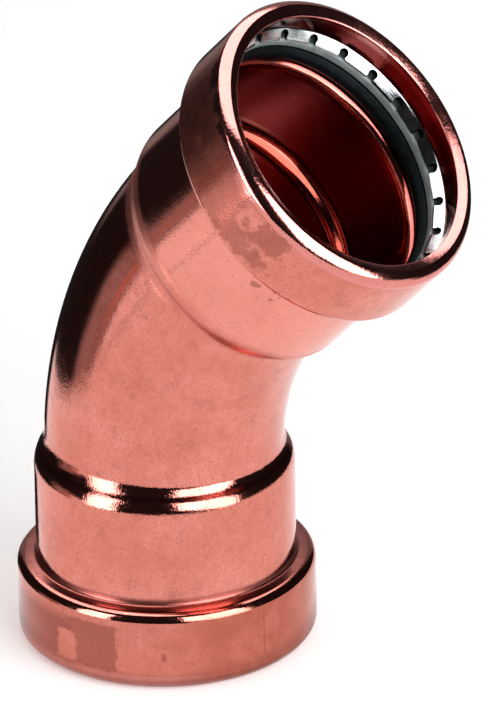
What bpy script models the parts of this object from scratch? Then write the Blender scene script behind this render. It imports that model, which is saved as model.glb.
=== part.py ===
"""A 45 degree press fit elbow for large copper pipe.

One copper tube is bent through 45 degrees and widened at both ends into a socket.
Each socket ends in a raised band that holds three rings: a slotted steel cutting ring,
a grey separator ring and a black seal ring. The band's mouth is hemmed inwards.

Metres, +Z up. The fitting stands on its lower mouth, with the middle of its footprint
at the origin. The bend lies in the XZ plane and leans towards +X.
"""

import math

import bmesh
import bpy
from mathutils import Matrix, Vector

# Pipe and sheet
PIPE_DIAMETER = 0.0640
PIPE_CLEARANCE = 0.0003
WALL = 0.0019

# Bent tube between the two sockets
BEND_ANGLE = math.radians(45.0)
BEND_RADIUS = 0.0886
STRAIGHT_LENGTH = 0.0482
TUBE_DIAMETER = 0.0627

# Socket, measured from its mouth
SOCKET_LENGTH = 0.0456
NECK_LENGTH = 0.0080
PIPE_STOP_DEPTH = 0.0440
PIPE_STOP_LENGTH = 0.0052

# Raised band round the ring chamber
BAND_RISE = 0.0051
BAND_LENGTH = 0.0208
BAND_SHOULDER = 0.0003
BAND_ROUNDING = 0.0025
BAND_FILLET = 0.0005

# Hemmed mouth
MOUTH_ROUNDING = 0.0034
HEM_LENGTH = 0.0080
LEAD_IN = 0.0011
HEM_EDGE_ROUNDING = 0.0015

# Rings in the chamber, from the hem inwards
RING_GAP = 0.0003
STEEL_THICKNESS = 0.0008
CUTTING_RING_DEPTH = 0.0026
TOOTH_REACH = 0.0021
TOOTH_COUNT = 23
SLIT_WIDTH = 0.0019
SLIT_HOLE_WIDTH = 0.0022
SLIT_HOLE_LENGTH = 0.0017
CUTTING_RING_TURN = math.radians(3.61)
SEPARATOR_DEPTH = 0.0024
SEPARATOR_BORE_RISE = 0.00115
SEPARATOR_ROUNDING = 0.0006
SEAL_CROWN_RISE = 0.0001
SEAL_LIP_RISE = 0.0011

# Facets
SEGMENTS = 44
CUTTING_RING_SEGMENTS = 2 * TOOTH_COUNT
BEND_ROWS = 5

BORE_RADIUS = PIPE_DIAMETER / 2 + PIPE_CLEARANCE
SOCKET_RADIUS = BORE_RADIUS + WALL
BAND_RADIUS = SOCKET_RADIUS + BAND_RISE
CHAMBER_RADIUS = BAND_RADIUS - WALL
HEM_RADIUS = BAND_RADIUS - 2 * WALL
TUBE_RADIUS = TUBE_DIAMETER / 2
TUBE_BORE_RADIUS = TUBE_RADIUS - WALL
BLANK_LENGTH = 2 * STRAIGHT_LENGTH + BEND_RADIUS * BEND_ANGLE
MIDDLE = BLANK_LENGTH / 2

# A wall that turns off the axis by this angle keeps its thickness through the turn
SHOULDER_ANGLE = math.atan2(BAND_RISE, BAND_SHOULDER)
TURN_OFFSET = math.tan(SHOULDER_ANGLE / 2)


def remove_all_objects():
    for scene_object in list(bpy.data.objects):
        bpy.data.objects.remove(scene_object, do_unlink=True)


def new_collection(name):
    collection = bpy.data.collections.new(name)
    bpy.context.scene.collection.children.link(collection)
    return collection


def material(name, colour, roughness, metallic):
    made = bpy.data.materials.new(name)
    made.use_nodes = True
    shader = made.node_tree.nodes["Principled BSDF"]
    shader.inputs["Base Color"].default_value = (*colour, 1.0)
    shader.inputs["Roughness"].default_value = roughness
    shader.inputs["Metallic"].default_value = metallic
    made.diffuse_color = (*colour, 1.0)
    return made


def rounded(before, at, after, radius, steps):
    """Arc of the given radius in place of the corner between two straight lines."""
    corner = Vector(at)
    back = (Vector(before) - corner).normalized()
    ahead = (Vector(after) - corner).normalized()
    half = back.angle(ahead) / 2
    centre = corner + (back + ahead).normalized() * (radius / math.sin(half))
    start = corner + back * (radius / math.tan(half)) - centre
    end = corner + ahead * (radius / math.tan(half)) - centre
    sweep = start.angle_signed(end)
    points = []
    for step in range(steps + 1):
        angle = -sweep * step / steps
        turned = Matrix.Rotation(angle, 2) @ start
        points.append(tuple(centre + turned))
    return points


def s_curve(start, end, steps):
    """Two equal arcs that leave and arrive along the axis."""
    rise = end[0] - start[0]
    run = end[1] - start[1]
    sweep = 2 * math.atan2(abs(rise), run)
    radius = run / (2 * math.sin(sweep))
    side = math.copysign(1.0, rise)
    first = []
    for step in range(steps + 1):
        angle = sweep * step / steps
        offset = radius * (1 - math.cos(angle))
        first.append((start[0] + side * offset, start[1] + radius * math.sin(angle)))
    second = []
    for step in range(steps):
        angle = sweep * step / steps
        offset = radius * (1 - math.cos(angle))
        second.append((end[0] - side * offset, end[1] - radius * math.sin(angle)))
    return first + second[::-1]


def bend_rows(radius, start):
    """Rows of points from a height up to just below the middle of the blank."""
    span = MIDDLE - start
    return [(radius, start + span * row / BEND_ROWS) for row in range(1, BEND_ROWS)]


def outer_half():
    """Outer side of one half of the blank, from the mouth to its middle."""
    crest = (HEM_RADIUS, 0.0)
    mouth = (BAND_RADIUS, 0.0)
    band_end = (BAND_RADIUS, BAND_LENGTH)
    socket_start = (SOCKET_RADIUS, BAND_LENGTH + BAND_SHOULDER)
    neck_start = (SOCKET_RADIUS, SOCKET_LENGTH)
    neck_end = (TUBE_RADIUS, SOCKET_LENGTH + NECK_LENGTH)
    points = rounded(crest, mouth, band_end, MOUTH_ROUNDING, 4)
    points += rounded(mouth, band_end, socket_start, BAND_ROUNDING, 3)
    points += rounded(band_end, socket_start, neck_start, BAND_FILLET, 2)
    points += s_curve(neck_start, neck_end, 3)
    points += bend_rows(TUBE_RADIUS, neck_end[1])
    return points


def inner_half():
    """Inner side of one half of the blank, from the mouth to its middle."""
    crest = (HEM_RADIUS, 0.0)
    lip = (BORE_RADIUS + LEAD_IN, 0.0)
    hem_end = (HEM_RADIUS, HEM_LENGTH)
    chamber_start = (CHAMBER_RADIUS, HEM_LENGTH)
    chamber_end = (CHAMBER_RADIUS, BAND_LENGTH - WALL * TURN_OFFSET)
    bore_start = (BORE_RADIUS, chamber_end[1] + BAND_SHOULDER)
    stop_start = (BORE_RADIUS, PIPE_STOP_DEPTH)
    stop_end = (TUBE_BORE_RADIUS, PIPE_STOP_DEPTH + PIPE_STOP_LENGTH)
    points = rounded(crest, lip, hem_end, HEM_EDGE_ROUNDING, 3)
    points += [hem_end, chamber_start]
    points += rounded(chamber_start, chamber_end, bore_start, BAND_ROUNDING - WALL, 1)
    points += rounded(chamber_end, bore_start, stop_start, BAND_FILLET + WALL, 3)
    points += s_curve(stop_start, stop_end, 2)
    points += bend_rows(TUBE_BORE_RADIUS, stop_end[1])
    return points


def whole_side(half, radius):
    """A half side, its middle point and its mirror image at the other end."""
    mirrored = [(point[0], BLANK_LENGTH - point[1]) for point in reversed(half)]
    return half + [(radius, MIDDLE)] + mirrored


def outline(name, points):
    """Closed outline in the XZ plane, at the +X side of the axis."""
    mesh = bpy.data.meshes.new(name)
    vertices = [(point[0], 0.0, point[1]) for point in points]
    edges = [(index, (index + 1) % len(points)) for index in range(len(points))]
    mesh.from_pydata(vertices, edges, [])
    return mesh


def add_screw(target, segments):
    screw = target.modifiers.new("turn", "SCREW")
    screw.axis = "Z"
    screw.angle = math.tau
    screw.steps = segments
    screw.render_steps = segments
    screw.use_merge_vertices = True
    screw.merge_threshold = 0.000001
    screw.use_smooth_shade = True


def turned_object(name, points, collection, segments=SEGMENTS):
    made = bpy.data.objects.new(name, outline(name, points))
    collection.objects.link(made)
    add_screw(made, segments)
    return made


def apply_modifiers(target):
    """Keep the finished shape as the object's own mesh, with sharp edges marked."""
    depsgraph = bpy.context.evaluated_depsgraph_get()
    shape = bpy.data.meshes.new_from_object(target.evaluated_get(depsgraph))
    target.modifiers.clear()
    target.data = shape
    shape.name = target.name
    shape.shade_smooth()
    shape.set_sharp_from_angle(angle=math.radians(32.0))


def make_body(collection, guides):
    """Turn the straight blank, then bend its middle stretch about the Y axis."""
    outer = whole_side(outer_half(), TUBE_RADIUS)
    inner = whole_side(inner_half(), TUBE_BORE_RADIUS)
    body = turned_object("elbow_body", outer[::-1] + inner, collection)

    bend_start = bpy.data.objects.new("bend_start", None)
    bend_start.location = (0.0, 0.0, STRAIGHT_LENGTH)
    guides.objects.link(bend_start)

    bend = body.modifiers.new("bend", "SIMPLE_DEFORM")
    bend.deform_method = "BEND"
    bend.deform_axis = "Y"
    bend.angle = BEND_ANGLE
    bend.origin = bend_start
    bend.limits = (STRAIGHT_LENGTH / BLANK_LENGTH, 1 - STRAIGHT_LENGTH / BLANK_LENGTH)

    bpy.context.view_layer.update()
    apply_modifiers(body)
    bpy.data.objects.remove(bend_start)
    return body


def cutting_ring_outline():
    """A folded strip: one leg on the chamber wall, the other a cone of teeth."""
    top = HEM_LENGTH + RING_GAP
    foot = top + CUTTING_RING_DEPTH
    wall_side = CHAMBER_RADIUS - RING_GAP
    tip = HEM_RADIUS - TOOTH_REACH
    slope = math.atan2(TOOTH_REACH, CUTTING_RING_DEPTH)
    across = STEEL_THICKNESS / math.cos(slope)
    under = top + STEEL_THICKNESS
    crease = HEM_RADIUS - math.tan(slope) * STEEL_THICKNESS + across
    return [
        (wall_side, foot),
        (wall_side, top),
        (HEM_RADIUS, top),
        (tip, foot),
        (tip + across, foot),
        (crease, under),
        (wall_side - STEEL_THICKNESS, under),
        (wall_side - STEEL_THICKNESS, foot),
    ]


def slot_matrix(index, radius, height):
    """Z of the cutter points away from the axis, through the middle of a facet."""
    angle = math.tau * (index + 0.25) / TOOTH_COUNT
    place = Matrix.Rotation(angle, 4, "Z") @ Matrix.Translation((radius, 0.0, height))
    return place @ Matrix.Rotation(math.pi / 2, 4, "Y")


def make_slot_cutters(cutters):
    """Flattened holes near the fold, and slits from them to the tips of the teeth."""
    inside = HEM_RADIUS - TOOTH_REACH - STEEL_THICKNESS
    outside = CHAMBER_RADIUS - RING_GAP - 1.2 * STEEL_THICKNESS
    reach = outside - inside
    middle = (inside + outside) / 2
    top = HEM_LENGTH + RING_GAP
    hole_height = top + STEEL_THICKNESS / 2 + SLIT_HOLE_LENGTH / 2
    flattened = Matrix.Diagonal((SLIT_HOLE_LENGTH / SLIT_HOLE_WIDTH, 1.0, 1.0, 1.0))
    slit_end = top + CUTTING_RING_DEPTH + STEEL_THICKNESS
    slit_height = (hole_height + slit_end) / 2

    holes = bmesh.new()
    slits = bmesh.new()
    for index in range(TOOTH_COUNT):
        bmesh.ops.create_cone(
            holes,
            cap_ends=True,
            segments=10,
            radius1=SLIT_HOLE_WIDTH / 2,
            radius2=SLIT_HOLE_WIDTH / 2,
            depth=reach,
            matrix=slot_matrix(index, middle, hole_height) @ flattened,
        )
        size = Matrix.Diagonal((slit_end - hole_height, SLIT_WIDTH, 0.98 * reach, 1.0))
        bmesh.ops.create_cube(
            slits,
            size=1.0,
            matrix=slot_matrix(index, middle, slit_height) @ size,
        )
    made = []
    for name, shape in (("slit_holes", holes), ("slits", slits)):
        mesh = bpy.data.meshes.new(name)
        shape.to_mesh(mesh)
        shape.free()
        cutter = bpy.data.objects.new(name, mesh)
        cutter.hide_render = True
        cutter.display_type = "WIRE"
        cutters.objects.link(cutter)
        made.append(cutter)
    return made


def make_cutting_ring(collection, cutters):
    shape = cutting_ring_outline()
    ring = turned_object("lower_cutting_ring", shape, collection, CUTTING_RING_SEGMENTS)
    slot_cutters = make_slot_cutters(cutters)
    for cutter in slot_cutters:
        cut = ring.modifiers.new(cutter.name, "BOOLEAN")
        cut.operation = "DIFFERENCE"
        cut.solver = "EXACT"
        cut.object = cutter
    bpy.context.view_layer.update()
    apply_modifiers(ring)
    for cutter in slot_cutters:
        bpy.data.objects.remove(cutter)
    return ring


def separator_outline():
    near = HEM_LENGTH + 2 * RING_GAP + CUTTING_RING_DEPTH
    far = near + SEPARATOR_DEPTH
    wall_side = CHAMBER_RADIUS - RING_GAP
    bore = BORE_RADIUS + SEPARATOR_BORE_RISE
    near_edge = rounded((wall_side, near), (bore, near), (bore, far), SEPARATOR_ROUNDING, 2)
    far_edge = rounded((bore, near), (bore, far), (wall_side, far), SEPARATOR_ROUNDING, 1)
    return [(wall_side, far), (wall_side, near)] + near_edge + far_edge


def seal_outline():
    """The seal's back lies along the chamber's shoulder, and its crown meets the pipe."""
    near = HEM_LENGTH + 3 * RING_GAP + CUTTING_RING_DEPTH + SEPARATOR_DEPTH
    wall_side = CHAMBER_RADIUS - RING_GAP
    back = BAND_LENGTH - (WALL + RING_GAP) * TURN_OFFSET
    lip = BORE_RADIUS + SEAL_LIP_RISE
    crown = BORE_RADIUS + SEAL_CROWN_RISE
    back_lip = lip + SEAL_LIP_RISE / 2
    slope = BAND_SHOULDER / BAND_RISE
    back_end = back + (wall_side - back_lip) * slope
    depth = back_end - near
    return [
        (wall_side, back),
        (wall_side, near),
        (lip, near),
        (crown, near + 0.30 * depth),
        (crown, near + 0.62 * depth),
        (lip, near + 0.92 * depth),
        (back_lip, back_end),
    ]


def give_material(target, finish):
    target.data.materials.clear()
    target.data.materials.append(finish)


def second_ring(ring, name, finish):
    """The same ring for the upper socket, with a finish of its own."""
    copy = bpy.data.objects.new(name, ring.data.copy())
    copy.data.name = name
    give_material(copy, finish)
    return copy


def mouth_empty(name, guides, location, tilt):
    """An empty at a mouth's centre, with its Z axis pointing into the socket."""
    empty = bpy.data.objects.new(name, None)
    empty.location = location
    empty.rotation_euler = (0.0, tilt, 0.0)
    empty.empty_display_size = 0.02
    guides.objects.link(empty)
    return empty


def main():
    remove_all_objects()
    fitting = new_collection("press_fit_elbow")
    guides = new_collection("guides")
    cutters = new_collection("cutters")

    body = make_body(fitting, guides)
    give_material(body, material("copper", (0.76, 0.30, 0.22), 0.24, 1.0))

    across = [vertex.co.x for vertex in body.data.vertices]
    root = bpy.data.objects.new("fitting_origin", None)
    root.location = (-(min(across) + max(across)) / 2, 0.0, 0.0)
    guides.objects.link(root)

    reach = BEND_RADIUS * (1 - math.cos(BEND_ANGLE)) + STRAIGHT_LENGTH * math.sin(BEND_ANGLE)
    rise = STRAIGHT_LENGTH * (1 + math.cos(BEND_ANGLE)) + BEND_RADIUS * math.sin(BEND_ANGLE)
    lower_mouth = mouth_empty("lower_mouth", guides, (0.0, 0.0, 0.0), 0.0)
    upper_mouth = mouth_empty("upper_mouth", guides, (reach, 0.0, rise), math.pi + BEND_ANGLE)

    body.parent = root
    lower_mouth.parent = root
    upper_mouth.parent = root

    cutting = make_cutting_ring(fitting, cutters)
    separator = turned_object("lower_separator_ring", separator_outline(), fitting)
    seal = turned_object("lower_seal_ring", seal_outline(), fitting)
    bpy.context.view_layer.update()
    apply_modifiers(separator)
    apply_modifiers(seal)

    rings = (
        (cutting, "cutting_ring", (0.72, 0.74, 0.76), 0.22, 1.0),
        (separator, "separator_ring", (0.22, 0.25, 0.27), 0.55, 0.0),
        (seal, "seal_ring", (0.012, 0.012, 0.014), 0.50, 0.0),
    )
    for ring, kind, colour, roughness, metallic in rings:
        give_material(ring, material("lower_" + kind, colour, roughness, metallic))
        upper_finish = material("upper_" + kind, colour, roughness, metallic)
        upper = second_ring(ring, "upper_" + kind, upper_finish)
        fitting.objects.link(upper)
        ring.parent = lower_mouth
        upper.parent = upper_mouth
        if ring is cutting:
            upper.rotation_euler = (0.0, 0.0, CUTTING_RING_TURN)
    bpy.context.view_layer.update()


main()
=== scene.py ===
"""Looks of a 45 degree press fit elbow for large copper pipe.

Lengths in the shape functions are millimetres, and meshes are written in metres.
Along the fitting, s is the distance from the lower mouth, measured on the axis.
"""

import math

import bmesh
import bpy
import numpy as np
from mathutils import Matrix, Vector


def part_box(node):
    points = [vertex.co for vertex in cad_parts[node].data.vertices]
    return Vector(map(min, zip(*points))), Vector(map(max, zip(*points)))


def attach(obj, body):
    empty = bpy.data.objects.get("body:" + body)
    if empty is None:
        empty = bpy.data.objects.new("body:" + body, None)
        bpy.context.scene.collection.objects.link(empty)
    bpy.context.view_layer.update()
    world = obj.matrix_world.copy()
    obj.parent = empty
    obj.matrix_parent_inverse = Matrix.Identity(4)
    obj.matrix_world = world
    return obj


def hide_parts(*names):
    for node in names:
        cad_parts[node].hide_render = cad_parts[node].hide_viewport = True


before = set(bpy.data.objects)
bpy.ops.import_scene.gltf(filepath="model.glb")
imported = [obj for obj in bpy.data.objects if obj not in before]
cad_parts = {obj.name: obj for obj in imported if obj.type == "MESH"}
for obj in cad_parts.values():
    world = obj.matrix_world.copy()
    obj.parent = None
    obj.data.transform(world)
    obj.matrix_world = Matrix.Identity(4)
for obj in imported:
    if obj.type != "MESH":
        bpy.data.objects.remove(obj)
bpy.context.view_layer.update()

# the pipe, the copper wall and the bent tube
PIPE_DIAMETER = 64.0
PIPE_CLEARANCE = 0.3
WALL = 1.9
TUBE_DIAMETER = 62.7
BEND_ANGLE = math.radians(45.0)
BEND_RADIUS = 88.6
STRAIGHT = 48.2

# each socket, with its neck outside and its pipe stop inside
SOCKET_LENGTH = 45.6
NECK_LENGTH = 8.0
PIPE_STOP = 44.0
PIPE_STOP_LENGTH = 5.2

# the raised band that holds the rings
BAND_RISE = 5.1
BAND_LENGTH = 20.8
BAND_SHOULDER = 0.3
BAND_ROUNDING = 2.5
BAND_FILLET = 0.9

# the lip as arcs (first and last turn in degrees, radius, steps), and the hem behind it
LIP_ARCS = ((-20, 0, 0.8, 5), (0, 28, 0.8, 6), (28, 58, 5.0, 10), (58, 90, 2.4, 8))
HEM_LENGTH = 8.0
HEM_EDGE = 0.5
HEM_LIP = 34.05

# the cutting ring: a folded strip of steel with slotted teeth
RING_GAP = 0.3
STEEL = 0.8
CUT_DEPTH = 2.6
CUT_TURN = math.radians(3.61)
CUT_FOLD_ROUNDING = 0.5
CUT_BEND_ROUNDING = 0.6
CUT_EDGE = 0.12
TEETH = 23
TOOTH_REACH = 2.1
TOOTH_FLATNESS = 0.8
FLAT_ABOVE_HEM = 0.4
SLOT_PHASE = 0.25
SLIT_WIDTH = 2.2
HOLE_WIDTH = 2.6
HOLE_LENGTH = 1.8
HOLE_BELOW_TOP = 0.35

# the separator, and the seal, whose crown and lip begin at shares of its depth
SEPARATOR_DEPTH = 2.4
SEPARATOR_RISE = 1.15
SEPARATOR_ROUNDING = 0.6
SEPARATOR_EDGE = 0.25
SEAL_CROWN = 0.1
SEAL_LIP = 1.1
SEAL_CROWN_START, SEAL_CROWN_END, SEAL_LIP_START = 0.30, 0.62, 0.92
SEAL_ROUNDINGS = (0.3, 0.3, 0.6, 1.2, 1.2, 0.4, 0.3)

# how fine the meshes are
SIDES = 240
WALL_STEP = 2.5
STRIP_STEP = 0.6
SEPARATOR_STEP = 0.8
SHARP_FROM = math.radians(35)

BORE = PIPE_DIAMETER / 2 + PIPE_CLEARANCE
SOCKET = BORE + WALL
BAND = SOCKET + BAND_RISE
CHAMBER = BAND - WALL
HEM = BAND - 2 * WALL
TUBE = TUBE_DIAMETER / 2
TUBE_BORE = TUBE - WALL
LENGTH = 2 * STRAIGHT + BEND_RADIUS * BEND_ANGLE
MIDDLE = LENGTH / 2
TURN = math.tan(math.atan2(BAND_RISE, BAND_SHOULDER) / 2)
MOUTH_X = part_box("elbow_body")[0][0] * 1000 + BAND


def add_object(name, mesh):
    made = bpy.data.objects.new(name, mesh)
    bpy.context.scene.collection.objects.link(made)
    return made


def rounded(before, at, after, radius, steps):
    """An arc of points that rounds the corner at a point."""
    corner = Vector(at)
    back = (Vector(before) - corner).normalized()
    ahead = (Vector(after) - corner).normalized()
    half = back.angle(ahead) / 2
    centre = corner + (back + ahead).normalized() * (radius / math.sin(half))
    start = corner + back * (radius / math.tan(half)) - centre
    end = corner + ahead * (radius / math.tan(half)) - centre
    sweep = start.angle_signed(end)
    turns = [Matrix.Rotation(-sweep * k / steps, 2) for k in range(steps + 1)]
    return [tuple(centre + turn @ start) for turn in turns]


def s_curve(start, end, steps):
    """Two equal arcs that lead from one radius to another, straight at both ends."""
    rise, run = end[0] - start[0], end[1] - start[1]
    sweep = 2 * math.atan2(abs(rise), run)
    radius = run / (2 * math.sin(sweep))
    side = math.copysign(1.0, rise)
    angles = [sweep * k / steps for k in range(steps + 1)]
    bends = [(radius * (1 - math.cos(a)), radius * math.sin(a)) for a in angles]
    first = [(start[0] + side * a, start[1] + b) for a, b in bends]
    second = [(end[0] - side * a, end[1] - b) for a, b in bends[:-1]]
    return first + second[::-1]


def straight(start, end, step):
    """The points between two ends of a straight run, without the ends."""
    count = max(1, round(math.dist(start, end) / step))
    across, along = end[0] - start[0], end[1] - start[1]
    shares = [k / count for k in range(1, count)]
    return [(start[0] + across * k, start[1] + along * k) for k in shares]


def lip():
    """The lip's points from its crest: those of the inner side, then of the outer."""
    points = [(0.0, 0.0)]
    for start, end, radius, steps in LIP_ARCS:
        r, s = points[-1]
        a = math.radians(start)
        for k in range(1, steps + 1):
            b = math.radians(start + (end - start) * k / steps)
            across = radius * (math.sin(b) - math.sin(a))
            along = radius * (math.cos(a) - math.cos(b))
            points.append((r + across, s + along))
    across, along = BAND - points[-1][0], min(s for r, s in points)
    points = [(r + across, s - along) for r, s in points]
    inner_steps = LIP_ARCS[0][3]
    return points[:inner_steps][::-1], points[inner_steps:]


def joined(*runs):
    """Runs of points with the straight walls between them filled in."""
    points = list(runs[0])
    for run in runs[1:]:
        points += straight(points[-1], run[0], WALL_STEP)
        points += run
    return points


def outer_half():
    outer_lip = lip()[1]
    lip_end = outer_lip[-1]
    band_end, socket_start = (BAND, BAND_LENGTH), (SOCKET, BAND_LENGTH + BAND_SHOULDER)
    neck_start, neck_end = (SOCKET, SOCKET_LENGTH), (TUBE, SOCKET_LENGTH + NECK_LENGTH)
    return joined(
        outer_lip,
        rounded(lip_end, band_end, socket_start, BAND_ROUNDING, steps=12),
        rounded(band_end, socket_start, neck_start, BAND_FILLET, steps=5),
        s_curve(neck_start, neck_end, steps=9),
        [(TUBE, MIDDLE)],
    )


def inner_half():
    inner_lip = lip()[0]
    crest, hem_end = inner_lip[-1], (HEM, HEM_LENGTH)
    crest_slope = math.tan(math.radians(-LIP_ARCS[0][0]))
    hem_lip = (HEM_LIP, crest[1] + (crest[0] - HEM_LIP) * crest_slope)
    chamber_start = (CHAMBER, HEM_LENGTH)
    chamber_end = (CHAMBER, BAND_LENGTH - WALL * TURN)
    bore_start = (BORE, chamber_end[1] + BAND_SHOULDER)
    stop_start, stop_end = (BORE, PIPE_STOP), (TUBE_BORE, PIPE_STOP + PIPE_STOP_LENGTH)
    return joined(
        inner_lip,
        rounded(crest, hem_lip, hem_end, HEM_EDGE, steps=6),
        [hem_end, chamber_start],
        rounded(chamber_start, chamber_end, bore_start, BAND_ROUNDING - WALL, steps=4),
        rounded(chamber_end, bore_start, stop_start, BAND_FILLET + WALL, steps=9),
        s_curve(stop_start, stop_end, steps=7),
        [(TUBE_BORE, MIDDLE)],
    )


def mirrored(half):
    return half + [(r, LENGTH - s) for r, s in reversed(half[:-1])]


def wrap(r, s, theta):
    """Points of the straight blank, bent as the tube is bent."""
    x, y = r * np.cos(theta), r * np.sin(theta)
    along = np.clip(s - STRAIGHT, 0.0, BEND_RADIUS * BEND_ANGLE)
    angle = along / BEND_RADIUS
    past = s - STRAIGHT - along
    wx = (x - BEND_RADIUS) * np.cos(angle) + BEND_RADIUS + np.sin(angle) * past
    wz = STRAIGHT - (x - BEND_RADIUS) * np.sin(angle) + np.cos(angle) * past
    return np.stack([wx + MOUTH_X, y, wz], -1) / 1000


def upright(r, s, theta):
    """Points of a ring on its own axis, before it is set in a mouth."""
    x, y, z = np.broadcast_arrays(r * np.cos(theta), r * np.sin(theta), s)
    return np.stack([x, y, z], -1) / 1000


def revolve(name, loop, sides=SIDES, place=wrap, inner_from=None, measure=1):
    """A closed outline turned about the tube's axis, with UVs of the turn and the length.

    Faces from the row inner_from on count their turn from -360 degrees, so that a look
    meant for the outside can leave them out. With measure 0 the UVs hold the radius
    in place of the length.
    """
    loop = np.array(loop)
    rows = len(loop)
    theta = np.arange(sides) * math.tau / sides
    points = place(loop[:, 0][:, None], loop[:, 1][:, None], theta[None, :]).reshape(-1, 3)
    i, j = np.meshgrid(np.arange(rows), np.arange(sides), indexing="ij")
    i2, j2 = (i + 1) % rows, (j + 1) % sides
    corners = [i * sides + j, i * sides + j2, i2 * sides + j2, i2 * sides + j]
    faces = np.stack(corners, -1).reshape(-1, 4)
    mesh = bpy.data.meshes.new(name)
    mesh.from_pydata(points.tolist(), [], faces.tolist())
    turn = np.stack([j, j + 1, j + 1, j], -1) * math.tau / sides
    if inner_from is not None:
        turn = turn - math.tau * (i >= inner_from)[..., None]
    near, far = loop[i, measure], loop[i2, measure]
    along = np.stack([near, near, far, far], -1)
    uv = np.stack([turn, along], -1).reshape(-1, 2)
    mesh.uv_layers.new(name="turn_and_length").data.foreach_set("uv", uv.ravel())
    mesh.shade_smooth()
    mesh.set_sharp_from_angle(angle=SHARP_FROM)
    return add_object(name, mesh)


outer, inner = mirrored(outer_half()), mirrored(inner_half())
body = revolve("copper_body", outer[::-1] + inner, inner_from=len(outer) - 1)
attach(body, "root")
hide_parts("elbow_body")


def cutting_outline():
    """A folded strip: one leg on the chamber wall, the other a cone of teeth.

    With the outline comes the index from which its points belong to the leg.
    """
    top = HEM_LENGTH + RING_GAP
    foot = top + CUT_DEPTH
    wall = CHAMBER - RING_GAP
    tip = HEM - TOOTH_REACH
    slope = math.atan2(TOOTH_REACH, CUT_DEPTH)
    across = STEEL / math.cos(slope)
    crease = (HEM - math.tan(slope) * STEEL + across, top + STEEL)
    leg_top, leg_foot = (wall - STEEL, top + STEEL), (wall - STEEL, foot)
    fold = rounded((wall, foot), (wall, top), (HEM, top), CUT_FOLD_ROUNDING, steps=4)
    bend = rounded((wall, top), (HEM, top), (tip, foot), CUT_BEND_ROUNDING, steps=5)
    ends = rounded(bend[-1], (tip, foot), (tip + across, foot), CUT_EDGE, steps=3)
    ends += rounded((tip, foot), (tip + across, foot), crease, CUT_EDGE, steps=3)
    leg_end = rounded(leg_foot, (wall, foot), (wall, top), CUT_EDGE, steps=3)
    teeth = [
        *fold,
        *straight(fold[-1], bend[0], STRIP_STEP),
        *bend,
        *straight(bend[-1], ends[0], STRIP_STEP),
        *ends,
        *straight(ends[-1], crease, STRIP_STEP),
    ]
    return teeth + [crease, leg_top, leg_foot, *leg_end], len(teeth)


def toothed(r, s, theta):
    """Each tooth is flat from slot to slot."""
    pitch = math.tau / TEETH
    first = CUT_TURN + (SLOT_PHASE + 0.5) * pitch
    middle = np.round((theta - first) / pitch) * pitch + first
    flat = np.cos(pitch / 2) / np.cos(theta - middle)
    share = np.clip((HEM + FLAT_ABOVE_HEM - r) / TOOTH_REACH, 0.0, 1.0)
    return upright(r * (1 + share * TOOTH_FLATNESS * (flat - 1)), s, theta)


def slot_shape():
    """A slit that is open at the teeth's tips, with a round hole at its other end."""
    top = HEM_LENGTH + RING_GAP
    middle = top + HOLE_BELOW_TOP + HOLE_LENGTH / 2
    end = top + CUT_DEPTH + 1.0
    start = math.asin(SLIT_WIDTH / HOLE_WIDTH)
    steps = 22
    turns = [start + (math.tau - 2 * start) * k / steps for k in range(steps + 1)]
    half_width, half_length = HOLE_WIDTH / 2, HOLE_LENGTH / 2
    hole = [(math.sin(a) * half_width, middle + math.cos(a) * half_length) for a in turns]
    return hole + [(-SLIT_WIDTH / 2, end), (SLIT_WIDTH / 2, end)]


def slot_cutters():
    """The slots as solid bars, which reach from inside the teeth up to the leg."""
    inside = HEM - TOOTH_REACH - 1.5
    outside = CHAMBER - RING_GAP - 1.2 * STEEL
    shape = slot_shape()
    count = len(shape)
    points, faces = [], []
    for index in range(TEETH):
        angle = math.tau * (index + SLOT_PHASE) / TEETH + CUT_TURN
        out = Vector((math.cos(angle), math.sin(angle), 0))
        across = Vector((-math.sin(angle), math.cos(angle), 0))
        base = len(points)
        for radius in (inside, outside):
            for a, b in shape:
                points.append((out * radius + across * a + Vector((0, 0, b))) / 1000)
        faces.append(tuple(base + k for k in reversed(range(count))))
        faces.append(tuple(base + count + k for k in range(count)))
        for k in range(count):
            j = (k + 1) % count
            faces.append((base + k, base + j, base + count + j, base + count + k))
    mesh = bpy.data.meshes.new("slot_cutters")
    mesh.from_pydata(points, [], faces)
    checked = bmesh.new()
    checked.from_mesh(mesh)
    bmesh.ops.recalc_face_normals(checked, faces=checked.faces)
    checked.to_mesh(mesh)
    checked.free()
    return add_object("slot_cutters", mesh)


def separator_outline():
    top = HEM_LENGTH + 2 * RING_GAP + CUT_DEPTH
    foot = top + SEPARATOR_DEPTH
    wall = CHAMBER - RING_GAP
    bore = BORE + SEPARATOR_RISE
    corners = [(wall, foot), (wall, top), (bore, top), (bore, foot)]
    outline = []
    for k in range(4):
        before, at, after, beyond = (corners[(k + n) % 4] for n in (-1, 0, 1, 2))
        radius = SEPARATOR_EDGE if k < 2 else SEPARATOR_ROUNDING
        outline += rounded(before, at, after, radius, steps=6)
        run_end = rounded(at, after, beyond, SEPARATOR_EDGE, steps=1)[0]
        outline += straight(outline[-1], run_end, SEPARATOR_STEP)
    return outline


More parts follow.
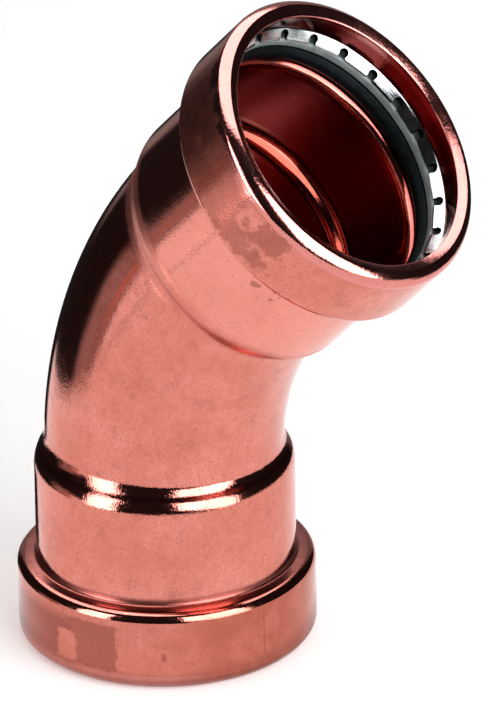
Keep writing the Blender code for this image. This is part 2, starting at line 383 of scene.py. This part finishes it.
def seal_outline():
    """The back lies along the chamber's shoulder, and the crown meets the pipe."""
    near = HEM_LENGTH + 3 * RING_GAP + CUT_DEPTH + SEPARATOR_DEPTH
    wall = CHAMBER - RING_GAP
    back = BAND_LENGTH - (WALL + RING_GAP) * TURN
    lip_at, crown = BORE + SEAL_LIP, BORE + SEAL_CROWN
    back_lip = lip_at + SEAL_LIP / 2
    back_end = back + (wall - back_lip) * BAND_SHOULDER / BAND_RISE
    depth = back_end - near
    corners = [
        (wall, back),
        (wall, near),
        (lip_at, near),
        (crown, near + SEAL_CROWN_START * depth),
        (crown, near + SEAL_CROWN_END * depth),
        (lip_at, near + SEAL_LIP_START * depth),
        (back_lip, back_end),
    ]
    outline = []
    for k, radius in enumerate(SEAL_ROUNDINGS):
        after = corners[(k + 1) % len(corners)]
        outline += rounded(corners[k - 1], corners[k], after, radius, steps=6)
    return outline


def cut_slots(ring):
    cutters = slot_cutters()
    cut = ring.modifiers.new("slots", "BOOLEAN")
    cut.operation = "DIFFERENCE"
    cut.solver = "EXACT"
    cut.object = cutters
    bpy.context.view_layer.update()
    evaluated = ring.evaluated_get(bpy.context.evaluated_depsgraph_get())
    slotted = bpy.data.meshes.new_from_object(evaluated)
    ring.modifiers.clear()
    ring.data = slotted
    bpy.data.objects.remove(cutters)


def set_in_mouths(pattern, part):
    """One copy of a ring in each mouth, in place of the pattern."""
    upper_mouth = Vector(wrap(np.array(0.0), np.array(LENGTH), np.array(0.0)).tolist())
    facing_in = Matrix.Rotation(BEND_ANGLE + math.pi, 4, "Y")
    upper_place = Matrix.Translation(upper_mouth) @ facing_in
    lower_place = Matrix.Translation((MOUTH_X / 1000, 0.0, 0.0))
    made = []
    for end, place in (("lower", lower_place), ("upper", upper_place)):
        mesh = pattern.data.copy()
        mesh.transform(place)
        ring = add_object(f"{end}_{part}_piece", mesh)
        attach(ring, "root")
        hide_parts(f"{end}_{part}_ring")
        made.append(ring)
    bpy.data.objects.remove(pattern)
    return made


strip, leg_from = cutting_outline()
cutting = revolve("cutting_pattern", strip, 8 * TEETH, toothed, inner_from=leg_from)
cut_slots(cutting)
cutting_rings = set_in_mouths(cutting, "cutting")
separator = revolve("separator_pattern", separator_outline(), place=upright, measure=0)
separator_rings = set_in_mouths(separator, "separator")
seal = revolve("seal_pattern", seal_outline(), place=upright)
seal_rings = set_in_mouths(seal, "seal")


class Graph:
    """A node tree, with short names for what the looks need."""

    def __init__(self, tree):
        self.tree = tree

    def add(self, kind, **settings):
        node = self.tree.nodes.new(kind)
        for key, value in settings.items():
            setattr(node, key, value)
        return node

    def link(self, source, socket):
        self.tree.links.new(source, socket)

    def feed(self, socket, value):
        if isinstance(value, (int, float, tuple)):
            socket.default_value = value
        else:
            self.link(value, socket)

    def math(self, operation, a, b=0.0):
        node = self.add("ShaderNodeMath", operation=operation)
        self.feed(node.inputs[0], a)
        self.feed(node.inputs[1], b)
        return node.outputs[0]

    def plus(self, a, b):
        return self.math("ADD", a, b)

    def minus(self, a, b):
        return self.math("SUBTRACT", a, b)

    def times(self, *factors):
        product = factors[0]
        for factor in factors[1:]:
            product = self.math("MULTIPLY", product, factor)
        return product

    def most(self, *values):
        highest = values[0]
        for value in values[1:]:
            highest = self.math("MAXIMUM", highest, value)
        return highest

    def vector(self, operation, a, b):
        node = self.add("ShaderNodeVectorMath", operation=operation)
        self.feed(node.inputs[0], a)
        self.feed(node.inputs["Scale" if operation == "SCALE" else 1], b)
        return node.outputs[0]

    def combine(self, x, y, z):
        node = self.add("ShaderNodeCombineXYZ")
        for socket, value in zip(node.inputs, (x, y, z)):
            self.feed(socket, value)
        return node.outputs[0]

    def split_uv(self):
        split = self.add("ShaderNodeSeparateXYZ")
        self.link(self.add("ShaderNodeTexCoord").outputs["UV"], split.inputs[0])
        return split.outputs["X"], split.outputs["Y"]

    def ramp(self, value, low, high, start=0.0, end=1.0, smooth=True):
        node = self.add("ShaderNodeMapRange")
        node.interpolation_type = "SMOOTHSTEP" if smooth else "LINEAR"
        self.feed(node.inputs["Value"], value)
        names = ("From Min", "From Max", "To Min", "To Max")
        for name, number in zip(names, (low, high, start, end)):
            self.feed(node.inputs[name], number)
        return node.outputs["Result"]

    def band(self, value, low, high, soft):
        rise = self.ramp(value, low - soft, low + soft)
        fall = self.ramp(value, high - soft, high + soft, 1.0, 0.0)
        return self.times(rise, fall)

    def mix(self, factor, a, b):
        node = self.add("ShaderNodeMix", data_type="RGBA")
        self.feed(node.inputs["Factor"], factor)
        self.feed(node.inputs["A"], (*a, 1.0) if isinstance(a, tuple) else a)
        self.feed(node.inputs["B"], (*b, 1.0) if isinstance(b, tuple) else b)
        return node.outputs["Result"]


class Look(Graph):
    """A piece's material. Its turn and along are the UVs, and its place is in mm."""

    def __init__(self, name):
        self.material = bpy.data.materials.new(name)
        self.material.use_nodes = True
        super().__init__(self.material.node_tree)
        self.shader = self.tree.nodes["Principled BSDF"]
        coordinates = self.add("ShaderNodeTexCoord")
        self.place = self.vector("SCALE", coordinates.outputs["Object"], 1000.0)
        self.turn, self.along = self.split_uv()

    def shade(self, name, value):
        self.feed(self.shader.inputs[name], value)

    def noise(self, size, detail=2.0, where=None, offset=0.0, rough=0.5):
        """Noise from 0 to 1, with features of about the size given in mm."""
        node = self.add("ShaderNodeTexNoise")
        spot = self.place if where is None else where
        if offset:
            spot = self.vector("ADD", spot, (offset, 0.7 * offset, -0.4 * offset))
        self.feed(node.inputs["Vector"], spot)
        node.inputs["Scale"].default_value = 1.0 / size
        node.inputs["Detail"].default_value = detail
        node.inputs["Roughness"].default_value = rough
        return node.outputs["Fac"]

    def reach(self, spot):
        """The distance in mm from a spot on the piece."""
        node = self.add("ShaderNodeVectorMath", operation="DISTANCE")
        self.link(self.place, node.inputs[0])
        node.inputs[1].default_value = spot
        return node.outputs["Value"]

    def area(self, bounds, soft_turn, soft_along, turn=None, along=None):
        """A field between two turns in degrees and two lengths in mm."""
        first, last, near, far = bounds
        turn = self.turn if turn is None else turn
        along = self.along if along is None else along
        in_turn = self.band(turn, math.radians(first), math.radians(last), soft_turn)
        in_length = self.band(along, near, far, soft_along)
        return self.times(in_turn, in_length)

    def bump(self, height, distance, normal=None):
        node = self.add("ShaderNodeBump")
        node.inputs["Strength"].default_value = 1.0
        node.inputs["Distance"].default_value = distance
        self.link(height, node.inputs["Height"])
        if normal is not None:
            self.link(normal, node.inputs["Normal"])
        return node.outputs[0]


# colours of the copper, clean and worn, and of its painted shade
ROSE_DEEP = (0.735, 0.232, 0.170)
ROSE_LIGHT = (0.850, 0.300, 0.242)
ROSE_UPPER = (0.900, 0.340, 0.276)
LIP_PINK = (0.790, 0.292, 0.272)
PATCH_BROWN = (0.600, 0.168, 0.120)
MOTTLE_BROWN = (0.520, 0.150, 0.112)
STREAK_BROWN = (0.550, 0.150, 0.110)
GRAIN_BROWN = (0.420, 0.115, 0.090)
SMUDGE_BROWN = (0.340, 0.125, 0.098)
BAND_BROWN = (0.480, 0.128, 0.088)
# stain colour, also used for painted shade on the left of each band
STAIN_AND_SHADE_BROWN = (0.335, 0.090, 0.068)
FLAKE_BROWN = (0.300, 0.085, 0.062)
LINE_BROWN = (0.260, 0.075, 0.060)
# painted shade for the corner between band and socket
CORNER_SHADE_BROWN = (0.260, 0.070, 0.062)
# painted dark reflection for the middle of the lower neck
NECK_DARK_REFLECTION = (0.220, 0.062, 0.052)
SCRATCH_BROWN = (0.200, 0.075, 0.060)
SPECK_BLACK = (0.160, 0.055, 0.045)
# painted shade inside, behind the lip and past the seal
BORE_SHADE_MAROON = (0.300, 0.014, 0.022)
# painted shade on the pipe stop
STOP_SHADE_ORANGE = (0.300, 0.042, 0.025)

# places on the bands, as two turns in degrees and two distances in mm from the mouth
LOWER_LABEL = (262, 285, 4.4, 17.0)
LOWER_CLEAR = (258, 267, 4.9, 12.6)
# painted shade on the left of the lower band
LOWER_LEFT_SHADE = (200, 268, 4.3, 16.5)
LOWER_SEAM = (344.6, 345.3, 5.5, 17.5)
UPPER_LABEL = (248, 291, 4.8, 18.6)
UPPER_BARE = ((267, 275, 5.0, 11.5), (279, 291, 12.0, 14.6))
# painted shade on the left of the upper band
UPPER_LEFT_SHADE = (205, 250, 4.0, 20.6)

# single dark flakes, each with its place and radius in mm
FLAKES = (
    ((27.8, -31.3, 116.7), 1.0),
    ((28.9, -30.8, 116.2), 0.6),
    ((32.4, -28.8, 114.4), 0.55),
    ((38.8, -32.3, 115.7), 0.5),
    ((30.6, -28.4, 112.1), 0.6),
    ((52.7, -11.9, 108.2), 0.6),
    ((-1.9, -32.8, 9.8), 0.7),
    ((-1.9, -32.8, 9.0), 0.9),
)

# hair scratches in three directions: lean in radians, width and length in mm
HAIRS = ((0.35, 0.26, 9.0), (-0.75, 0.22, 6.0), (1.25, 0.24, 7.0))

# the thin double line where each lip starts to curve, in mm from the mouth
LIP_LINES = ((4.15, 4.28), (4.75, 4.82))


class Copper(Look):
    """Rosy drawn copper, stained on its bands, with painted shade in its corners, on the left
    of its bands and inside.
    """

    def __init__(self):
        super().__init__("drawn_copper")
        self.outside = self.math("GREATER_THAN", self.turn, -0.00001)
        self.inside = self.minus(1.0, self.outside)
        self.from_top = self.minus(LENGTH, self.along)
        self.depth = self.math("MINIMUM", self.along, self.from_top)
        self.grain = self.noise(0.55)
        self.patch = self.noise(5.0, 4.0, offset=77.0, rough=0.6)
        self.ragged = self.noise(1.6, 4.0, offset=11.0, rough=0.65)
        cosine, sine = self.math("COSINE", self.turn), self.math("SINE", self.turn)
        round_tube = (self.times(cosine, 32.0), self.times(sine, 32.0))
        lengthwise = self.combine(*round_tube, self.times(self.along, 0.16))
        self.drawn = self.noise(0.9, where=lengthwise)
        smears = self.noise(9.0, 5.0, offset=141.0, rough=0.7)
        self.smudge = self.ramp(smears, 0.56, 0.70, 0.0, 0.34)
        self.on_lip = self.ramp(self.depth, 3.6, 4.6, 1.0, 0.0)
        self.bore = self.ramp(self.depth, 22.2, 24.2)
        self.at_stop = self.band(self.depth, 43.2, 49.8, 0.7)
        self.deep = self.times(self.bore, self.minus(1.0, self.at_stop))
        # Staining, and painted shade on the left of each band.
        self.held, self.stain_and_shade = self.stains_and_side_shade()

        tone = self.worn(self.clean())
        tone = self.shade_corner_and_neck(self.mix(self.stain_and_shade, tone, STAIN_AND_SHADE_BROWN))
        self.shade("Base Color", self.painted_inner_shade(tone))
        self.shade("Metallic", 1.0)
        self.shade("Roughness", self.roughness())
        self.shade("Normal", self.relief())

    def shifted(self, value, field, low, high, amount):
        """A value moved up and down by a noise field, to make its edges uneven."""
        return self.plus(value, self.ramp(field, low, high, -amount, amount, False))

    def clean(self):
        """Clouds, mottling, drawing streaks, grain and smudges."""
        cloud = self.noise(16.0, 3.0, offset=31.0)
        mottle = self.noise(2.2, 5.0, offset=260.0, rough=0.7)
        tone = self.mix(self.ramp(cloud, 0.32, 0.68), ROSE_DEEP, ROSE_LIGHT)
        tone = self.mix(self.ramp(self.patch, 0.48, 0.70, 0.0, 0.30), tone, PATCH_BROWN)
        tone = self.mix(self.ramp(mottle, 0.34, 0.60, 0.26, 0.0), tone, MOTTLE_BROWN)
        tone = self.mix(self.ramp(self.drawn, 0.30, 0.75, 0.14, 0.0), tone, STREAK_BROWN)
        tone = self.mix(self.ramp(self.grain, 0.28, 0.62, 0.30, 0.0), tone, GRAIN_BROWN)
        tone = self.mix(self.smudge, tone, SMUDGE_BROWN)
        # The upper socket is lighter.
        upper_socket_lighter = self.band(self.along, LENGTH - SOCKET_LENGTH, LENGTH - BAND_LENGTH, 3.0)
        tone = self.mix(self.times(upper_socket_lighter, 0.55), tone, ROSE_UPPER)
        return self.mix(self.times(self.on_lip, 0.60), tone, LIP_PINK)

    def worn(self, tone):
        """The darker lower band, specks, scratches, flakes and lines."""
        # The lower band is darker and browner, most at a turn of about 350 degrees.
        low = self.times(self.ramp(self.along, 18.5, 21.0, 1.0, 0.0), self.outside)
        right = self.ramp(self.math("COSINE", self.minus(self.turn, 6.1)), 0.70, 0.98)
        uneven = self.ramp(self.noise(7.0, 4.0, offset=411.0), 0.30, 0.62, 0.70, 1.15)
        brown = self.times(low, self.plus(0.42, self.times(right, 0.52)), uneven)
        tone = self.mix(brown, tone, BAND_BROWN)

        crowd = self.ramp(self.noise(11.0, offset=205.0), 0.42, 0.68, 0.0, 0.055)
        speck = self.plus(self.noise(0.62, 1.0, offset=53.0), crowd)
        tone = self.mix(self.ramp(speck, 0.735, 0.775, 0.0, 0.60), tone, SPECK_BLACK)
        tone = self.mix(self.times(self.hairs(), 0.55), tone, SCRATCH_BROWN)

        flakes = []
        for spot, radius in FLAKES:
            away = self.shifted(self.reach(spot), self.ragged, 0.2, 0.8, 0.45)
            flakes.append(self.ramp(away, radius * 0.75, radius * 1.15, 1.0, 0.0))
        tone = self.mix(self.times(self.most(*flakes), 0.62), tone, FLAKE_BROWN)
        seam = self.times(self.area(LOWER_SEAM, 0.004, 0.8), self.outside)
        tone = self.mix(self.times(seam, 0.50), tone, LINE_BROWN)

        wavy = self.shifted(self.depth, self.ragged, 0.2, 0.8, 0.10)
        strong, weak = (self.band(wavy, near, far, 0.10) for near, far in LIP_LINES)
        lines = self.times(self.most(strong, self.times(weak, 0.6)), self.outside)
        lines = self.times(lines, self.ramp(self.patch, 0.30, 0.60, 0.25, 0.60))
        return self.mix(lines, tone, LINE_BROWN)

    def hairs(self):
        fibres = []
        x = self.times(self.turn, 34.0)
        for number, (lean, width, length) in enumerate(HAIRS):
            rise, run = math.sin(lean), math.cos(lean)
            across = self.plus(
                self.times(x, run / width), self.times(self.along, rise / width)
            )
            down = self.plus(
                self.times(x, -rise / length), self.times(self.along, run / length)
            )
            where = self.combine(across, down, 9.0 * number)
            fibres.append(self.ramp(self.noise(1.0, 0.0, where=where), 0.80, 0.86))
        here_and_there = self.ramp(self.noise(13.0, 1.0, offset=301.0), 0.44, 0.60)
        return self.times(self.most(*fibres), here_and_there)

    def stains_and_side_shade(self):
        """Old staining on the bands where a label was, and painted shade on the left of each
        band.
        """
        turn = self.shifted(self.turn, self.ragged, 0.2, 0.8, 0.030)
        along = self.shifted(self.along, self.ragged, 0.2, 0.8, -0.9)
        label = self.area(LOWER_LABEL, 0.012, 0.3, turn, along)
        # Painted shade on the left of the lower band.
        held = self.area(LOWER_LEFT_SHADE, 0.08, 2.0, turn, along)
        clear = self.area(LOWER_CLEAR, 0.012, 0.4, turn, along)
        lower = self.most(self.times(label, 0.74), self.times(held, 0.90))
        lower = self.times(lower, self.minus(1.0, clear))

        blot = self.noise(4.0, 3.0, offset=95.0, rough=0.6)
        blot_turn = self.shifted(turn, blot, 0.25, 0.75, 0.13)
        high = self.shifted(self.from_top, self.patch, 0.2, 0.8, 3.2)
        label = self.area(UPPER_LABEL, 0.025, 0.6, blot_turn, high)
        bare = self.most(
            self.area(UPPER_BARE[0], 0.03, 0.6, blot_turn, high),
            self.area(UPPER_BARE[1], 0.03, 0.7, blot_turn, high),
        )
        upper = self.times(label, 0.60, self.minus(1.0, bare))
        # Painted shade on the left of the upper band.
        held = self.area(UPPER_LEFT_SHADE, 0.12, 1.0, turn, high)
        stain_and_shade = self.most(lower, upper, self.times(held, 0.62))
        return held, self.times(stain_and_shade, self.outside)

    def shade_corner_and_neck(self, tone):
        """Painted shade in the corner where each band meets its socket, and a painted dark
        reflection along the middle of the lower neck.
        """
        # Painted shade: the corner where each band meets its socket is darkened.
        corner = self.times(self.band(self.depth, 20.6, 23.0, 0.5), self.outside)
        tone = self.mix(self.times(corner, 0.62), tone, CORNER_SHADE_BROWN)
        # Painted dark reflection: a dark line along the middle of the lower neck.
        middle = SOCKET_LENGTH + NECK_LENGTH / 2
        line = self.times(self.band(self.along, middle - 0.7, middle + 0.7, 0.6), self.outside)
        return self.mix(self.times(line, 0.55), tone, NECK_DARK_REFLECTION)

    def painted_inner_shade(self, tone):
        """Painted shade inside: maroon behind the lip and past the seal, orange on the pipe
        stop, with two lighter lines across the stop as painted highlights.
        """
        # Painted shade: maroon behind the lip and past the seal.
        shade_behind_lip = self.times(self.band(self.depth, 3.0, 20.0, 0.7), 0.80)
        inner_shade = self.times(self.inside, self.plus(shade_behind_lip, self.times(self.deep, 0.93)))
        tone = self.mix(inner_shade, tone, BORE_SHADE_MAROON)
        # Painted highlights: two lighter lines across the orange painted shade on the pipe
        # stop.
        strong = self.band(self.depth, 45.1, 46.1, 0.35)
        weak = self.times(self.band(self.depth, 47.9, 48.5, 0.3), 0.7)
        cover = self.ramp(self.most(strong, weak), 0.0, 1.0, 0.90, 0.42)
        return self.mix(self.times(self.inside, self.at_stop, cover), tone, STOP_SHADE_ORANGE)

    def roughness(self):
        crease = self.band(self.depth, 20.9, 22.6, 0.35)
        neck_from = LENGTH - SOCKET_LENGTH - NECK_LENGTH - 0.5
        neck = self.band(self.along, neck_from, LENGTH - SOCKET_LENGTH + 0.5, 1.0)
        rough = self.ramp(self.patch, 0.3, 0.8, 0.070, 0.135)
        for more in (
            self.times(self.stain_and_shade, 0.10),
            self.times(self.smudge, 0.12),
            self.times(self.held, self.outside, 0.15),
            self.times(crease, self.outside, 0.20),
            self.times(neck, self.outside, 0.28),
            self.times(self.inside, self.deep, 0.12),
            self.times(self.on_lip, 0.025),
        ):
            rough = self.plus(rough, more)
        return rough

    def relief(self):
        """Grain and drawing streaks over faint waves, coarser on the necks and lips."""
        neck_end = SOCKET_LENGTH + NECK_LENGTH + 1.0
        necks = self.times(
            self.band(self.depth, SOCKET_LENGTH - 0.5, neck_end, 1.0), self.outside
        )
        pitted = self.plus(0.7, self.plus(necks, self.times(self.on_lip, 0.5)))
        height = self.plus(self.times(self.grain, pitted), self.times(self.drawn, 0.3))
        fine = self.bump(height, 0.000025)
        return self.bump(self.noise(6.0, 1.0, offset=17.0), 0.000030, normal=fine)


def steel():
    """Bright stamped steel, with painted shade on the leg and inside the slots."""
    g = Look("stamped_steel")
    grain = g.noise(0.35)
    cloud = g.noise(3.0, 3.0, offset=19.0)
    stretched = g.combine(g.times(g.turn, 3.0), g.times(g.along, 14.0), 4.0)
    lines = g.noise(1.0, where=stretched)
    # Painted shade on the leg and on the slots' walls.
    slot_and_leg_shade = g.math("LESS_THAN", g.turn, 0.0005)
    tone = g.mix(g.ramp(cloud, 0.3, 0.7), (0.50, 0.545, 0.540), (0.66, 0.70, 0.70))
    tone = g.mix(g.ramp(lines, 0.50, 0.72, 0.0, 0.35), tone, (0.36, 0.40, 0.40))
    tone = g.mix(g.times(slot_and_leg_shade, 0.98), tone, (0.008, 0.010, 0.013))
    rough = g.plus(g.ramp(cloud, 0.25, 0.75, 0.06, 0.14), g.times(slot_and_leg_shade, 0.4))
    g.shade("Base Color", tone)
    g.shade("Metallic", 1.0)
    g.shade("Roughness", rough)
    g.shade("Normal", g.bump(g.plus(g.times(grain, 0.5), lines), 0.000010))
    return g


def grey_plastic():
    """Grey-green plastic, with painted shade where the teeth cover it. Its UVs hold the
    radius.
    """
    g = Look("moulded_grey_plastic")
    cloud = g.noise(2.5, 3.0, offset=5.0)
    grain = g.noise(0.25)
    tips = HEM - TOOTH_REACH
    tone = g.mix(g.ramp(cloud, 0.3, 0.7), (0.170, 0.214, 0.212), (0.235, 0.285, 0.282))
    tone = g.mix(g.ramp(grain, 0.3, 0.6, 0.18, 0.0), tone, (0.140, 0.172, 0.172))
    # Painted shade on the top face behind the teeth's tips.
    shade_behind_teeth = g.ramp(g.along, tips + 0.55, tips + 1.1, 0.0, 0.88)
    tone = g.mix(shade_behind_teeth, tone, (0.020, 0.024, 0.026))
    g.shade("Base Color", tone)
    g.shade("Roughness", g.ramp(cloud, 0.3, 0.7, 0.42, 0.55))
    g.shade("Normal", g.bump(grain, 0.000012))
    return g


def rubber():
    g = Look("moulded_rubber")
    cloud = g.noise(2.0, 3.0, offset=8.0)
    grain = g.noise(0.22)
    darkest, dark = (0.0022, 0.0036, 0.0040), (0.0045, 0.0068, 0.0075)
    tone = g.mix(g.ramp(cloud, 0.3, 0.7), darkest, dark)
    tone = g.mix(g.ramp(grain, 0.60, 0.75, 0.0, 0.25), tone, (0.014, 0.019, 0.021))
    g.shade("Base Color", tone)
    g.shade("Specular IOR Level", 0.085)
    g.shade("Specular Tint", (0.78, 0.95, 1.0, 1.0))
    g.shade("Roughness", g.ramp(cloud, 0.3, 0.7, 0.40, 0.50))
    g.shade("Normal", g.bump(grain, 0.000008))
    return g


for pieces, look in (
    ([body], Copper()),
    (cutting_rings, steel()),
    (separator_rings, grey_plastic()),
    (seal_rings, rubber()),
):
    for piece in pieces:
        piece.data.materials.clear()
        piece.data.materials.append(look.material)


# The photograph is drawn out upwards by 5.6%, so the camera sits in a frame that
# leans its picture plane, which draws the picture out as much.
STRETCH = 1.0561
CAMERA_AT = Vector((1519.908 + MOUTH_X, -2138.192, 1257.871)) / 1000
YAW, PITCH, ROLL = 0.6098, -0.4246, -0.0192
FOCUS = 11087.6
PICTURE_HEIGHT = 720
SENSOR = 36.0

to_camera = Vector((math.sin(YAW), -math.cos(YAW), 0.0))
level = Vector((math.cos(YAW), math.sin(YAW), 0.0))


def leaning_frame(side, top, back):
    """The axes and scale of an empty, and the turn in it, that lean the picture."""
    lean = -math.acos(1 / STRETCH)
    shear = np.array([[1, 0, 0], [0, math.cos(lean), 0], [0, math.sin(lean), 1]])
    turn_out, scale, turn_in = np.linalg.svd(shear)
    if np.linalg.det(turn_out) < 0:
        turn_out[:, 0] *= -1
        turn_in[0] *= -1
    axes = np.array([side, top, back]).T
    frame_axes = Matrix((axes @ turn_out).tolist()).to_4x4()
    return frame_axes @ Matrix.Diagonal((*scale, 1.0)), Matrix(turn_in.tolist())


def add_camera():
    forward = Vector((0, 0, math.sin(PITCH))) - to_camera * math.cos(PITCH)
    upward = level.cross(forward)
    side = math.cos(ROLL) * level + math.sin(ROLL) * upward
    top = -math.sin(ROLL) * level + math.cos(ROLL) * upward
    leaning, turn_in = leaning_frame(side, top, -forward)
    holder = add_object("camera_frame", None)
    holder.matrix_world = Matrix.Translation(CAMERA_AT) @ leaning
    lens = bpy.data.cameras.new("camera")
    lens.sensor_width = SENSOR
    lens.lens = FOCUS / PICTURE_HEIGHT * SENSOR
    lens.clip_end = 50.0
    camera = add_object("camera", lens)
    camera.parent = holder
    camera.rotation_euler = turn_in.to_euler()
    bpy.context.scene.camera = camera


add_camera()

# strengths and colours of the studio's lights, and where the panels curve round
FLOOR_LIFT = 0.28
ROOM_LIGHT = 0.62
ROOM_SHADE = (0.0144, 0.0136, 0.0144)
CARD_SHADE = (0.30, 0.26, 0.26)
PANELS_CENTRE = Vector((0.0, 0.0, 0.085))
FLOOR_RADIUS = 0.55
FLOOR_DROP = -0.0002


def emitter(name, colour, strength, feather=0.0, beyond=ROOM_SHADE):
    """A plain light, or one that fades at its edges into what is beyond it."""
    made = bpy.data.materials.new(name)
    made.use_nodes = True
    made.node_tree.nodes.clear()
    g = Graph(made.node_tree)
    light = g.add("ShaderNodeEmission")
    light.inputs["Color"].default_value = (*colour, 1)
    light.inputs["Strength"].default_value = strength
    g.link(light.outputs[0], g.add("ShaderNodeOutputMaterial").inputs["Surface"])
    if feather:
        edges = []
        for spot in g.split_uv():
            edges += [g.ramp(spot, 0.0, feather), g.ramp(spot, 1.0, 1.0 - feather)]
        outer_colour = tuple(c / strength for c in beyond)
        g.link(g.mix(g.times(*edges), outer_colour, colour), light.inputs["Color"])
    return made


def sheet_white():
    """White that is shaded close to the foot of the object."""
    made = emitter("white_sheet", (1.0, 0.985, 0.985), 1.0)
    g = Graph(made.node_tree)
    away = g.add("ShaderNodeVectorMath", operation="LENGTH")
    g.link(g.add("ShaderNodeTexCoord").outputs["Object"], away.inputs[0])
    strength = g.ramp(away.outputs["Value"], 0.0395, 0.050, 0.62, 1.08, smooth=False)
    g.link(strength, g.tree.nodes["Emission"].inputs["Strength"])
    return made


def heading(azimuth, elevation):
    """A direction, from the camera's side of the object, turned to the picture's right."""
    a, e = math.radians(azimuth), math.radians(elevation)
    flat = to_camera * math.cos(a) + level * math.sin(a)
    return flat * math.cos(e) + Vector((0, 0, math.sin(e)))


def set_in_studio(name, mesh, material):
    mesh.materials.append(material)
    made = add_object(name, mesh)
    return made


def show_only_to(made, rays):
    """Leaves a light to glossy or to diffuse rays alone, without a shadow of its own."""
    made.visible_camera = False
    made.visible_transmission = False
    made.visible_shadow = False
    made.visible_diffuse = rays == "diffuse"
    made.visible_glossy = rays == "glossy"


def panel(name, azimuths, elevations, distance, material, rays="glossy", lower=None):
    """A curved panel that fills a range of directions round the object, in degrees."""
    across, up = 36, 10
    points, faces, spots = [], [], []
    for row in range(up + 1):
        for column in range(across + 1):
            a = azimuths[0] + (azimuths[1] - azimuths[0]) * column / across
            low = elevations[0] if lower is None else lower(a)
            e = low + (elevations[1] - low) * row / up
            points.append(PANELS_CENTRE + heading(a, e) * distance)
            spots.append((column / across, row / up))
    for row in range(up):
        for column in range(across):
            k = row * (across + 1) + column
            faces.append((k, k + 1, k + across + 2, k + across + 1))
    mesh = bpy.data.meshes.new(name)
    mesh.from_pydata(points, [], faces)
    layer = mesh.uv_layers.new(name="spot")
    for loop in mesh.loops:
        layer.data[loop.index].uv = spots[loop.vertex_index]
    show_only_to(set_in_studio(name, mesh, material), rays)


def right_edge(azimuth):
    """The foot of the right softbox rises towards the camera."""
    return -16 + 14 * min(1.0, max(0.0, (45 - azimuth) / 30))


def top_edge(azimuth):
    """The overhead light comes down low behind the object, and ends high before it."""
    away = (azimuth + 170 + 180) % 360 - 180
    before = 12 * math.exp(-(((azimuth - 5) / 60) ** 4))
    return 60 - 33 * math.exp(-((away / 55) ** 2)) + before


def sheet_reach(azimuth):
    """How far the white sheet under the object reaches, behind it and to its right."""
    if azimuth > 60:
        return 0.28
    if azimuth > 12:
        return 0.17
    return 0.135 if azimuth < -149 else 0.062


def ground_sheet(name, material):
    """What the copper mirrors of the floor near the object."""
    count = 180
    turns = [-180 + 360 * (k + 0.5) / count for k in range(count)]
    points = [Vector()] + [heading(a, 0.0) * sheet_reach(a) for a in turns]
    faces = [(0, 1 + k, 1 + (k + 1) % count) for k in range(count)]
    mesh = bpy.data.meshes.new(name)
    mesh.from_pydata(points, [], faces)
    made = set_in_studio(name, mesh, material)
    made.location.x = MOUTH_X / 1000
    show_only_to(made, "glossy")


def floor_white():
    """Pale paper, which the camera sees a little lighter than it is lit."""
    made = bpy.data.materials.new("floor_white")
    made.use_nodes = True
    g = Graph(made.node_tree)
    shader = g.tree.nodes["Principled BSDF"]
    shader.inputs["Base Color"].default_value = (0.9, 0.9, 0.9, 1)
    shader.inputs["Roughness"].default_value = 0.9
    shader.inputs["Specular IOR Level"].default_value = 0.1
    shader.inputs["Emission Color"].default_value = (1, 1, 1, 1)
    seen = g.add("ShaderNodeLightPath").outputs["Is Camera Ray"]
    lift = g.ramp(seen, 0.0, 1.0, 0.0, FLOOR_LIFT, smooth=False)
    g.link(lift, shader.inputs["Emission Strength"])
    return made


def lay_floor():
    """The floor keeps the object's shadow, and the white sheet is mirrored for it."""
    count = 96
    turns = [math.tau * k / count for k in range(count)]
    rim = [(FLOOR_RADIUS * math.cos(a), FLOOR_RADIUS * math.sin(a), FLOOR_DROP) for a in turns]
    mesh = bpy.data.meshes.new("floor")
    mesh.from_pydata(rim, [], [tuple(range(count))])
    set_in_studio("floor", mesh, floor_white()).visible_glossy = False


def light_world():
    """White where it is seen or mirrored, and a plain even light on the object."""
    world = bpy.data.worlds.new("white_room")
    world.use_nodes = True
    bpy.context.scene.world = world
    g = Graph(world.node_tree)
    back = g.tree.nodes["Background"]
    back.inputs["Color"].default_value = (1, 1, 1, 1)
    path = g.add("ShaderNodeLightPath").outputs
    rays = ("Is Camera Ray", "Is Glossy Ray", "Is Transmission Ray")
    seen = g.most(*(path[ray] for ray in rays))
    g.link(g.ramp(seen, 0.0, 1.0, ROOM_LIGHT, 1.0, smooth=False), back.inputs["Strength"])


lay_floor()
soft = emitter("softbox", (1.0, 0.98, 1.0), 5.0)
key = emitter("key_light", (1.0, 0.99, 0.99), 4.2)
top_light = emitter("top_light", (1.0, 0.98, 1.0), 3.0)
dark = emitter("dark_room", (0.9, 0.85, 0.9), 0.016)
sweep = emitter("white_sweep", (1.0, 0.985, 0.985), 1.05)
dim = emitter("dim_wall", (1.0, 0.92, 0.92), 0.24, feather=0.12)
grey = emitter("grey_card", (1.0, 0.90, 0.90), 0.36, feather=0.22)
warm = emitter("warm_card", (1.0, 0.50, 0.42), 0.62, feather=0.45, beyond=CARD_SHADE)
panel("softbox_left", (-70, -45), (-16, 38), 1.2, soft)
panel("softbox_right", (11, 63.5), (-16, 48), 1.2, soft, lower=right_edge)
panel("key_light", (9, 68), (-4, 48), 1.2, key, "diffuse")
panel("softbox_top", (-180, 180), (0, 90), 1.25, top_light, lower=top_edge)
panel("grey_card", (-112, -76), (-24, 2), 1.32, grey)
panel("warm_card", (-96, -89), (-18, 1), 1.31, warm)
panel("white_card", (-88, -70), (-18, -6), 1.27, sweep)
panel("back_wall", (150, 210), (-12, 30), 1.35, dim)
panel("white_sweep", (-152, 88), (-89.9, -18.5), 1.3, sweep)
ground_sheet("white_sheet", sheet_white())
panel("dark_room", (-180, 180), (-89.9, 89.9), 1.8, dark)
light_world()

scene = bpy.context.scene
scene.view_settings.view_transform = "Standard"
